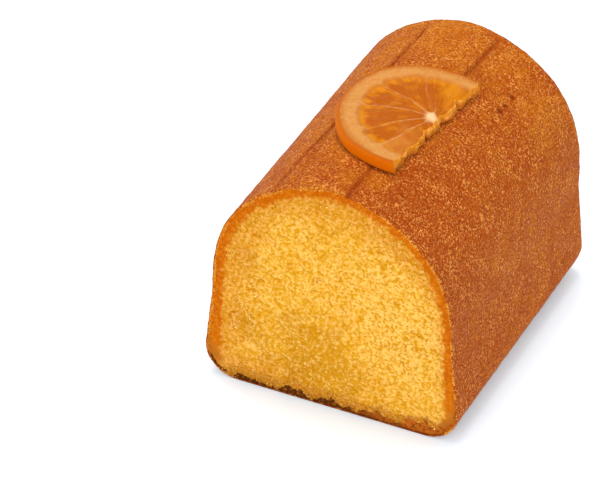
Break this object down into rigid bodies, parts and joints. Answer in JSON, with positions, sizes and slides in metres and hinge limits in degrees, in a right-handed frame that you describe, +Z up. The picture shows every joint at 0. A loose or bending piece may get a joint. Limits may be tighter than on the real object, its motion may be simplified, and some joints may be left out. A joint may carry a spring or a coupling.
{
  "type": "orange loaf cake",
  "caption": "Arched orange loaf cake turned out of its mould, cut open at one end to show golden crumb, with a candied orange half-slice on its crown.",
  "frame": {"origin": "middle of the bottom of the box round the whole cake, on the flat base", "axes": "+Y along the loaf from the cut face to the uncut end, +Z up through the crown, +X to the right when facing the same way as +Y"},
  "size_m": [0.0908, 0.1094, 0.0942],
  "materials": {
    "browned_crust": "matte",
    "candied_orange": "satin"
  },
  "bodies": {
    "root": {"loaf": "browned_crust", "candied_orange_half": "candied_orange"}
  },
  "joints": []
}
